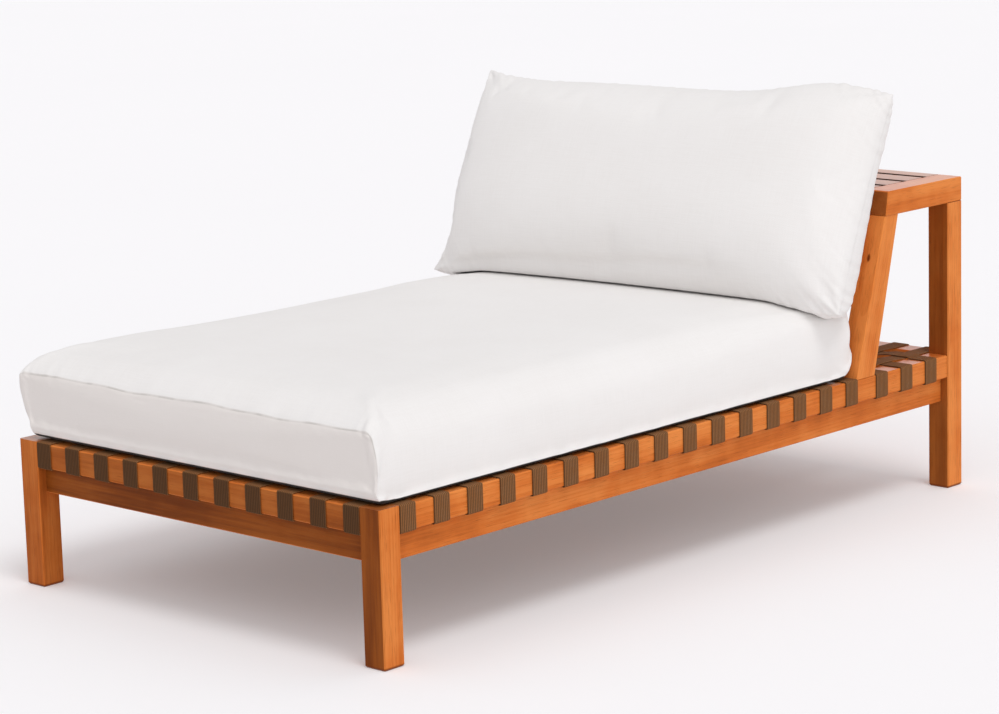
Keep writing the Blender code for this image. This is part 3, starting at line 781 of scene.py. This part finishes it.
# %% Cloth with pressure
CLOTH_FRAMES = 20
SEAM_LEVELS = 5
CANVAS_CLOTH = {
    "quality": 6,
    "mass": 0.30,
    "tension_stiffness": 20.0,
    "compression_stiffness": 12.0,
    "shear_stiffness": 6.0,
    "bending_stiffness": 1.5,
}


def vertex_normals(points, quads):
    """Mean direction of the faces round each point, from the cross product of their diagonals."""
    p = points[quads]
    facing = np.cross(p[:, 2] - p[:, 0], p[:, 3] - p[:, 1])
    normals = np.zeros_like(points)
    for corner in range(4):
        np.add.at(normals, quads[:, corner], facing)
    return normals / np.maximum(np.linalg.norm(normals, axis=1, keepdims=True), 1e-12)


def capped(start, moved, cap):
    """Moved points, none further than cap from its start."""
    shift = moved - start
    length = np.maximum(np.linalg.norm(shift, axis=1, keepdims=True), 1e-9)
    return start + shift * np.minimum(1.0, np.reshape(cap, (-1, 1)) / length)


def weigh(piece, name, weights):
    """Give a piece's points a vertex group in a few even steps of weight."""
    group = piece.vertex_groups.new(name=name)
    level = np.rint(np.clip(weights, 0, 1) * SEAM_LEVELS).astype(int)
    for step in range(1, SEAM_LEVELS + 1):
        group.add(np.flatnonzero(level == step).tolist(), step / SEAM_LEVELS, "REPLACE")


def taken_off(dummy):
    """Points of a dummy after its modifiers. The dummy is removed."""
    moved = points_of(dummy.evaluated_get(bpy.context.evaluated_depsgraph_get()).to_mesh())
    bpy.data.objects.remove(dummy, do_unlink=True)
    return moved


def fill(points, quads, seam, held, pressure, draw_in, ease, cap):
    """Points after Cloth pressure: seams shrink by draw_in, the rest grows by ease, held points stay."""
    uv = np.zeros((len(quads), 4, 2))
    dummy = piece_from("filling", points, quads, uv, cover)
    weigh(dummy, "seam", seam)
    weigh(dummy, "held", held)
    cloth = dummy.modifiers.new("filling", "CLOTH")
    settings = cloth.settings
    for key, value in CANVAS_CLOTH.items():
        setattr(settings, key, value)
    settings.vertex_group_mass = "held"
    settings.vertex_group_shrink = "seam"
    settings.shrink_min = -ease
    settings.shrink_max = draw_in
    settings.use_pressure = True
    settings.uniform_pressure_force = pressure
    settings.effector_weights.gravity = 0.0
    cloth.point_cache.frame_end = CLOTH_FRAMES
    for number in range(1, CLOTH_FRAMES + 1):
        scene.frame_set(number)
    result = capped(points, taken_off(dummy), cap)
    scene.frame_set(1)
    mean_move = np.linalg.norm(result - points, axis=1).mean()
    print(f"filled {len(points)} points, mean move {mean_move * 1000:.1f} mm")
    return result


# %% [markdown]
# ## The mattress
#
# The mattress is a long box with a soft top. One wide panel runs over the top and down
# both long sides, so those edges are round and have no seam. The ends are boxed: each has
# a flat panel with a sewn edge. A box's skin is therefore the right grid. Its corners are
# rounded by the usual rule: clamp a point to a smaller core, then step out from the core by
# the radius in the same direction.


# %% A box's skin as a lattice
def box_skin(counts):
    """Lattice points (n, 3) and outward quads (m, 4) of a box's six sides, and each quad's side."""
    sheets = []
    sides = []
    for axis in range(3):
        first, second = (axis + 1) % 3, (axis + 2) % 3
        i, j = np.indices((counts[first], counts[second])).reshape(2, -1)
        for end in (0, 1):
            ring = [(0, 0), (1, 0), (1, 1), (0, 1)][:: 1 if end else -1]
            sheet = np.empty((len(i), 4, 3), int)
            for corner, (di, dj) in enumerate(ring):
                sheet[:, corner, first] = i + di
                sheet[:, corner, second] = j + dj
                sheet[:, corner, axis] = end * counts[axis]
            sheets.append(sheet)
            sides.append(np.full(len(i), axis))
    corners = np.concatenate(sheets).reshape(-1, 3)
    lattice, index = np.unique(corners, axis=0, return_inverse=True)
    return lattice, index.reshape(-1, 4), np.concatenate(sides)


def graded(count, length, fine):
    """Places from 0 to 1 in count steps, closer together near both ends."""
    t = np.linspace(0.0, 1.0, count + 1)
    crowd = 1 - fine * count / length
    return t - crowd * 0.5 * np.sin(2 * pi * t) / pi


# %% Mattress form
SEAT_CELLS = (78, 116, 16)
SEAT_FINE = (0.005, 0.003, 0.004)
SEAT_GRADED_HEIGHT = 0.16
SEAT_SHOULDER = 0.062
SEAT_PANEL_CORNER = 0.012
SEAT_HEAD_CORNER = 0.020
SEAT_BASE_ROUND_FOOT = 0.021
SEAT_BASE_ROUND_HEAD = 0.046
SEAT_SIDE_SWELL = 0.008
SEAT_SIDE_LEAN = 0.016
SEAT_BASE_EDGE = 0.009
SEAT_BASE_FLARE = 0.002
SEAT_CORNER_BULGE = 0.029
SEAT_BULGE_RUN = 0.40
SEAM_WANDER = 0.0018
SEAT_CROWN = 0.006
SEAT_SLACK = 0.002
PANEL_BULGE = 0.010
FOOT_SEAM_DROP = 0.040
FOOT_RISE_RUN = 0.065
HEAD_DROP = 0.022
HEAD_RISE_RUN = 0.450
HEAD_LEAN = 0.010
HEAD_LEAN_RUN = 0.200
# How far the black band along the lowest edge comes up at the ends and at the sides
BOTTOM_BAND_FOOT = 0.0082
BOTTOM_BAND_SIDE = 0.0042
BOTTOM_BAND_RUN = 0.050

seat_low, seat_high = (np.array(corner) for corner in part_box("seat_cushion"))
seat_middle_x = (seat_low[X] + seat_high[X]) / 2
seat_half = (seat_high[X] - seat_low[X]) / 2
seat_foot = seat_low[Y] + PANEL_BULGE
seat_head = seat_high[Y] - PANEL_BULGE
seat_length = seat_head - seat_foot
seat_depth = seat_high[Z] - seat_low[Z]


def seat_heights(along):
    """Top level beside the crown: it falls to the seams by drop * (1 - d/run)^2 from each end."""
    foot = np.clip(1 - along / FOOT_RISE_RUN, 0, 1) ** 2
    head = np.clip(1 - (seat_length - along) / HEAD_RISE_RUN, 0, 1) ** 2
    return seat_high[Z] - FOOT_SEAM_DROP * foot - HEAD_DROP * head, foot, head


def base_round(share):
    """Radius of the lower edges, which grows from the foot to the head."""
    return SEAT_BASE_ROUND_FOOT + (SEAT_BASE_ROUND_HEAD - SEAT_BASE_ROUND_FOOT) * share


def bottom_band_height(along):
    """How far the black band at the lowest edge comes up, which lessens from the ends to the sides."""
    nearest = np.minimum(along, seat_length - along)
    return BOTTOM_BAND_SIDE + (BOTTOM_BAND_FOOT - BOTTOM_BAND_SIDE) * np.clip(1 - nearest / BOTTOM_BAND_RUN, 0, 1)


def round_over(distance, radius):
    """Lift of the underside near an end: r - sqrt(r^2 - (r - distance)^2)."""
    inside = np.clip(radius - distance, 0, None)
    return radius - np.sqrt(radius ** 2 - inside ** 2)


def seat_form(across, share, rise):
    """Points of the mattress for across in [-1, 1], share along and rise in [0, 1].

    A section is a rectangle with rounded corners: core = clamp(point), point = core + r * direction.
    End panels are the same section shrunk towards its middle, and they bulge by 1 - rho^2.
    """
    along = share * seat_length
    top, foot, head = seat_heights(along)
    rho = np.maximum(np.abs(across), np.abs(2 * rise - 1))
    rim = np.maximum(rho, 1e-6)
    edge_across = np.where(rho > 0, across / rim, 0.0)
    edge_rise = np.where(rho > 0, ((2 * rise - 1) / rim + 1) / 2, 0.5)
    crown = SEAT_CROWN * (1 - edge_across ** 2) * (1 - foot)
    swell = SEAT_SIDE_SWELL * np.sin(pi * edge_rise)
    half = seat_half - SEAT_SIDE_SWELL - SEAT_SLACK
    low = seat_low[Z] + round_over(np.minimum(along, seat_length - along), base_round(share))
    wander = np.sin(8 * edge_across + 1.0) + 0.6 * np.sin(21 * edge_across)
    high = top - SEAT_CROWN * (1 - foot) + SEAM_WANDER * wander * foot
    x = edge_across * half
    z = low + edge_rise * (high - low)
    sharp = np.where(foot > head, SEAT_PANEL_CORNER, SEAT_HEAD_CORNER)
    ending = np.maximum(foot, head) ** 0.5
    upper = SEAT_SHOULDER + (sharp - SEAT_SHOULDER) * ending
    radius = np.where(edge_rise > 0.5, upper, SEAT_BASE_EDGE)
    core_x = np.clip(x, -(half - radius), half - radius)
    core_z = np.clip(z, low + radius, high - radius)
    off_x, off_z = x - core_x, z - core_z
    far = np.maximum(np.hypot(off_x, off_z), 1e-9)
    x = core_x + radius * off_x / far
    z = core_z + radius * off_z / far
    flare = SEAT_BASE_FLARE * (1 - edge_rise) ** 4
    x = x + np.sign(x) * (swell + flare) * np.abs(edge_across) ** 6
    z = z + crown * np.clip((edge_rise - 0.5) * 2, 0, 1) ** 6
    fading = np.exp(-(along / SEAT_BULGE_RUN) ** 2)
    left = np.clip(-edge_across, 0, 1)
    x = x - SEAT_CORNER_BULGE * left ** 4 * np.sin(pi / 2 * edge_rise) ** 0.6 * fading
    at_end = (share <= 0) | (share >= 1)
    shrink = np.where(at_end, rho, 1.0)
    middle = (low + high) / 2
    bulge = np.where(at_end, PANEL_BULGE * (1 - rho ** 2), 0.0)
    z = middle + (z - middle) * shrink
    x = seat_middle_x + x * shrink - SEAT_SIDE_LEAN * ((z - seat_low[Z]) / seat_depth - 0.5)
    near_head = np.clip(1 - (seat_length - along) / HEAD_LEAN_RUN, 0, 1) ** 2
    y = seat_foot + along + np.where(share <= 0, -bulge, bulge) + HEAD_LEAN * rise * near_head
    return np.stack([x, y, z], -1)


lattice, seat_quads, seat_sides = box_skin(SEAT_CELLS)
grades = [
    2 * graded(SEAT_CELLS[X], 2 * seat_half, SEAT_FINE[X]) - 1,
    graded(SEAT_CELLS[Y], seat_length, SEAT_FINE[Y]),
    graded(SEAT_CELLS[Z], SEAT_GRADED_HEIGHT, SEAT_FINE[Z]),
]
across, share, rise = (grades[axis][lattice[:, axis]] for axis in range(3))
seat_start = seat_form(across, share, rise)
flat = np.stack([across * seat_half, share * seat_length, rise * seat_depth], -1)
axes = np.stack([(seat_sides + 1) % 3, (seat_sides + 2) % 3], -1)
seat_uv = np.take_along_axis(flat[seat_quads], axes[:, None, :].repeat(4, axis=1), axis=2)

# %% [markdown]
# The seam group holds the two sewn frames of the end panels. The underside rests on the
# deck, so it is held, and nothing may sink below it.

# %% Fill the mattress
SEAM_REACH = 0.030
SEAT_PRESSURE = 4.0
SEAT_CAP = 0.009
SEAT_DRAW_IN = 0.004
SEAT_EASE = 0.012
SEAM_GROOVE = 0.0022
SEAM_RIDGE = 0.0012
SEAM_WIDTH = 0.005
SEAM_LINE = 0.0035
PUCKER_DEPTH = 0.0020
PUCKER_REACH = 0.024
PUCKER_PITCH = 0.024


def seam_distance_seat():
    """Distance on the cloth from the nearest sewn edge of an end panel."""
    along = np.minimum(share, 1 - share) * seat_length
    inward = np.minimum((1 - np.abs(across)) * seat_half, (1 - rise) * seat_depth)
    on_panel = (share <= 0) | (share >= 1)
    return np.where(on_panel, inward, along) + SEAM_REACH * np.clip(2 - rise / 0.1, 0, 2)


def sewn(points, quads, distance, run, groove=1.0, pucker=1.0):
    """Sink the seam line along the normal, lift its two lips and pucker the cloth beside it.

    lift = (-groove + ridge * d^2) * exp(-d^2) + pucker * exp(-distance / reach) * wave(run)
    """
    d = distance / SEAM_WIDTH
    lift = groove * (-SEAM_GROOVE + SEAM_RIDGE * d * d) * np.exp(-d * d)
    turn = 2 * pi * run / PUCKER_PITCH
    wave = np.sin(turn + 1.9 * np.sin(0.17 * turn)) * (0.6 + 0.4 * np.sin(0.31 * turn + 1.0))
    lift = lift + pucker * PUCKER_DEPTH * np.exp(-distance / PUCKER_REACH) * wave
    return points + vertex_normals(points, quads) * lift[:, None]


seat_seam = seam_distance_seat()
underside = (rise <= 0).astype(float)
seat_points = fill(
    seat_start, seat_quads, np.exp(-(seat_seam / SEAM_REACH) ** 2), underside,
    SEAT_PRESSURE, draw_in=SEAT_DRAW_IN, ease=SEAT_EASE, cap=SEAT_CAP,
)
seat_points = sewn(seat_points, seat_quads, seat_seam, across * seat_half + rise * seat_depth)
seat_points[:, Z] = np.maximum(seat_points[:, Z], seat_low[Z])
bottom_band_top = 2 * bottom_band_height(share * seat_length)
marks = {
    "seam": np.exp(-seat_seam / SEAM_LINE),
    "panel": ((share <= 0) | (share >= 1)).astype(float),
    "lining": np.clip(1 - (seat_start[:, Z] - seat_low[Z]) / bottom_band_top, 0, 1),
}
mattress = piece_from("mattress", seat_points, seat_quads, seat_uv, cover, marks=marks)
smooth = mattress.modifiers.new("soft", "SUBSURF")
smooth.levels = 1
smooth.render_levels = 1
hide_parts("seat_cushion")
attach(mattress, "seat_cushion")
print("mattress from", np.round(seat_points.min(axis=0), 3), "to", np.round(seat_points.max(axis=0), 3))

# %% [markdown]
# ## The pillow
#
# The pillow is two equal panels sewn round one knife edge and filled hard. Its corners
# stand out as ears and its sides pull in between them. Both panels are grids on the same
# square, and the depth is a product of two steep humps, so that the face is full and turns
# over late.


# %% Pillow form
PILLOW_CELLS = (128, 62)
PILLOW_WIDTH = 1.020
PILLOW_HEIGHT = 0.467
PILLOW_DEPTH = 0.232
PILLOW_SIDE_DIP = 0.004
PILLOW_TOP_DIP = 0.010
PILLOW_BASE_DIP = 0.004
PILLOW_FULL_FRONT = 3.2
PILLOW_FULL_BACK = 14.0
PILLOW_FULL_RISEN = 6.0
PILLOW_FULL_UP = 3.6
PILLOW_FULL_DOWN = 2.9
PILLOW_SWELL = 0.55
PILLOW_BASE_SWELL = 0.85
PILLOW_LEAN = radians(27.0)
PILLOW_YAW = radians(6.0)
PILLOW_ROLL = radians(0.8)
PILLOW_LIFT = 0.003
PILLOW_HUMP = 0.031
HUMP_PLACE, HUMP_REACH = 0.74, 0.27
PILLOW_EAR_DIP = 0.004
EAR_DIP_PLACE, EAR_DIP_REACH = -0.66, 0.26
PILLOW_EAR = 0.010
PILLOW_WAIST = 0.015
WAIST_PLACE, WAIST_REACH = -0.62, 0.28
PILLOW_CREASE = 0.008
CREASE_PLACE, CREASE_SLOPE, CREASE_WIDTH = -0.81, 0.10, 0.045
PILLOW_FINE = 0.004
EAR_FOLD = 0.0035
EAR_FOLD_REACH = 0.11


def two_panels(counts):
    """Lattice points (n, 3) and outward quads of two grids that share their rim."""
    i, j = np.indices(counts).reshape(2, -1)
    sheets = []
    for layer in (0, 1):
        ring = [(0, 0), (1, 0), (1, 1), (0, 1)][:: -1 if layer else 1]
        corners = np.array([(i + di, j + dj, np.full_like(i, layer)) for di, dj in ring])
        sheets.append(corners.transpose(2, 0, 1))
    corners = np.concatenate(sheets).reshape(-1, 3)
    rim = (corners[:, 0] % counts[0] == 0) | (corners[:, 1] % counts[1] == 0)
    corners[rim, 2] = 0
    lattice, index = np.unique(corners, axis=0, return_inverse=True)
    return lattice, index.reshape(-1, 4)


def pillow_form(across, up, side):
    """Points about the pillow's middle.

    Depth = D/2 * (1 - |s|^m)^j * (1 - |h|^n)^k, fuller behind and straighter below. The sewn edge
    dips by parabolas between the ears, humps beside the upper right ear and lifts at the lower one.
    """
    behind = PILLOW_FULL_BACK + (PILLOW_FULL_RISEN - PILLOW_FULL_BACK) * np.clip((up + 0.5) / 0.8, 0, 1)
    fullness = np.where(side > 0, behind, PILLOW_FULL_FRONT)
    wide = np.clip(1 - np.abs(across) ** fullness, 0, 1) ** PILLOW_SWELL
    upper = np.clip(1 - np.abs(up) ** PILLOW_FULL_UP, 0, 1) ** PILLOW_SWELL
    lower = np.where(
        side > 0,
        np.clip(1 - np.abs(up) ** PILLOW_FULL_BACK, 0, 1) ** PILLOW_SWELL,
        np.clip(1 - np.abs(up) ** PILLOW_FULL_DOWN, 0, 1) ** PILLOW_BASE_SWELL,
    )
    depth = side * PILLOW_DEPTH / 2 * wide * np.where(up > 0, upper, lower)
    side_dip = PILLOW_SIDE_DIP * (1 - up ** 2) * across ** 2
    edge_dip = np.where(up > 0, PILLOW_TOP_DIP, PILLOW_BASE_DIP) * (1 - across ** 6) * up ** 2
    right, above, below = np.clip(across, 0, 1), np.clip(up, 0, 1), np.clip(-up, 0, 1)
    lift = PILLOW_LIFT * right ** 3 * below ** 2
    hump = PILLOW_HUMP * np.exp(-((across - HUMP_PLACE) / HUMP_REACH) ** 2)
    hump = hump - PILLOW_EAR_DIP * np.exp(-((across - EAR_DIP_PLACE) / EAR_DIP_REACH) ** 2)
    hump = hump * (1 - 0.6 * across ** 12) * above ** 2
    left = np.clip(-across, 0, 1)
    waist = PILLOW_WAIST * left ** 2 * np.exp(-((up - WAIST_PLACE) / WAIST_REACH) ** 2)
    ear = PILLOW_EAR * left ** 14 * below ** 10 - waist
    x = across * PILLOW_WIDTH / 2 - np.sign(across) * side_dip - ear
    z = up * PILLOW_HEIGHT / 2 - np.sign(up) * edge_dip + lift + hump
    return np.stack([x, depth, z], -1)


def pillow_folds(across, up, side):
    """Lift along the normal: one crease across the lower front, and folds that fan out from the ears.

    crease = -c * exp(-((h - h0) / w)^2), fan = f * exp(-r / reach) * sin(9 * angle) about each ear
    """
    line = CREASE_PLACE + CREASE_SLOPE * across + 0.01 * np.sin(9.0 * across)
    shown = np.clip((0.62 - across) / 0.35, 0, 1) * np.clip((across + 0.98) / 0.10, 0, 1) * (side < 0)
    crease = -PILLOW_CREASE * shown * np.exp(-((up - line) / CREASE_WIDTH) ** 2)
    to_side = (1 - np.abs(across)) * PILLOW_WIDTH / 2
    to_edge = (1 - np.abs(up)) * PILLOW_HEIGHT / 2
    reach = np.hypot(to_side, to_edge)
    angle = np.arctan2(to_edge, to_side + 1e-9)
    fan = EAR_FOLD * np.exp(-reach / EAR_FOLD_REACH) * np.sin(9 * angle + 2 * across)
    return crease + fan * np.clip(reach / 0.03, 0, 1)


lattice, pillow_quads = two_panels(PILLOW_CELLS)
across = 2 * graded(PILLOW_CELLS[0], PILLOW_WIDTH, PILLOW_FINE)[lattice[:, 0]] - 1
up = 2 * graded(PILLOW_CELLS[1], PILLOW_HEIGHT, PILLOW_FINE)[lattice[:, 1]] - 1
side = np.where(lattice[:, 2] == 1, 1.0, -1.0)
pillow_start = pillow_form(across, up, side)
pillow_uv_points = np.stack([across * PILLOW_WIDTH / 2, up * PILLOW_HEIGHT / 2], -1)

# %% [markdown]
# The filled pillow is turned to its lean and pressed against what it touches. Its back may
# reach no further than a line up the posts and over the shelf. Shrinkwrap in its outside
# mode then moves only the points that lie inside the mattress.

# %% Fill the pillow and lean it on the shelf
PILLOW_PRESSURE = 4.0
PILLOW_CAP = 0.012
PILLOW_DRAW_IN = 0.016
PILLOW_EASE = 0.010
PRESSED_BELOW = -0.4
PRESS_GAP = 0.0008
EDGE_GAP = 0.0040
SHELF_OVERHANG = 0.15
PILLOW_SETTLE = 0.018
PILLOW_SEAM_SHOWN = 0.6
PILLOW_PUSH_BACK = 0.010


def rest_line(z):
    """How far back the pillow may reach at a height: up the leaning posts, then over the shelf's edge."""
    post_front = span("back_post_right", Y)[0]
    shelf_front = span("shelf_side_right", Y)[0]
    shelf_low, shelf_top = span("shelf_side_right", Z)
    heights = [rail_top, shelf_low, shelf_top, shelf_top + SHELF_OVERHANG]
    return np.interp(z, heights, [post_front, shelf_front, shelf_front, shelf_front + SHELF_OVERHANG])


def pressed(points, quads, near, neighbour, gap):
    """Points, of those near it, that lie inside a neighbour moved out to a gap from its surface."""
    dummy = piece_from("pressed", points, quads, np.zeros((len(quads), 4, 2)), cover)
    weigh(dummy, "near", near)
    squeeze = dummy.modifiers.new("pressed", "SHRINKWRAP")
    squeeze.target = neighbour
    squeeze.wrap_method = "NEAREST_SURFACEPOINT"
    squeeze.wrap_mode = "OUTSIDE"
    squeeze.offset = gap
    squeeze.vertex_group = "near"
    return taken_off(dummy)


pillow_seam = np.minimum((1 - np.abs(across)) * PILLOW_WIDTH / 2, (1 - np.abs(up)) * PILLOW_HEIGHT / 2)
pillow_points = fill(
    pillow_start, pillow_quads, np.exp(-(pillow_seam / SEAM_REACH) ** 2), np.zeros(len(pillow_start)),
    PILLOW_PRESSURE, draw_in=PILLOW_DRAW_IN, ease=PILLOW_EASE, cap=PILLOW_CAP,
)
is_ear = (np.abs(across) == 1) & (np.abs(up) == 1)
drawn, sewn_out = np.ptp(pillow_points[is_ear], axis=0), np.ptp(pillow_start[is_ear], axis=0)
pillow_points *= (sewn_out[X] / drawn[X], 1.0, sewn_out[Z] / drawn[Z])
settled = np.where(across > 0, 1 - across ** 2, 1 - across ** 6)
pillow_points[:, Z] -= PILLOW_SETTLE * settled * np.clip(-up, 0, 1) ** 3
pillow_run = pillow_uv_points.sum(axis=1)
pillow_points = sewn(pillow_points, pillow_quads, pillow_seam, pillow_run, groove=0.3, pucker=1.5)
pillow_points += vertex_normals(pillow_points, pillow_quads) * pillow_folds(across, up, side)[:, None]
turn = Matrix.Rotation(PILLOW_YAW, 3, "Z") @ Matrix.Rotation(-PILLOW_LEAN, 3, "X")
turn = turn @ Matrix.Rotation(PILLOW_ROLL, 3, "Y")
pillow_points = pillow_points @ np.array(turn).T
pillow_low, pillow_high = (np.array(corner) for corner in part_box("back_pillow"))
pillow_place = (pillow_low + pillow_high) / 2 + (0, PILLOW_PUSH_BACK, 0)
pillow_points += pillow_place - pillow_points[is_ear].mean(axis=0)
pillow_points[:, Y] = np.minimum(pillow_points[:, Y], rest_line(pillow_points[:, Z]) - PRESS_GAP)
for facing, gap in ((1, PRESS_GAP), (-1, EDGE_GAP)):
    near = (up < PRESSED_BELOW) & (side == facing)
    pillow_points = pressed(pillow_points, pillow_quads, near, mattress, gap)
pillow = piece_from(
    "pillow", pillow_points, pillow_quads, pillow_uv_points[pillow_quads], cover,
    marks={"seam": PILLOW_SEAM_SHOWN * np.exp(-pillow_seam / SEAM_LINE)},
)
smooth = pillow.modifiers.new("soft", "SUBSURF")
smooth.levels = 1
smooth.render_levels = 1
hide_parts("back_pillow")
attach(pillow, "back_pillow")
print("pillow from", np.round(pillow_points.min(axis=0), 3), "to", np.round(pillow_points.max(axis=0), 3))
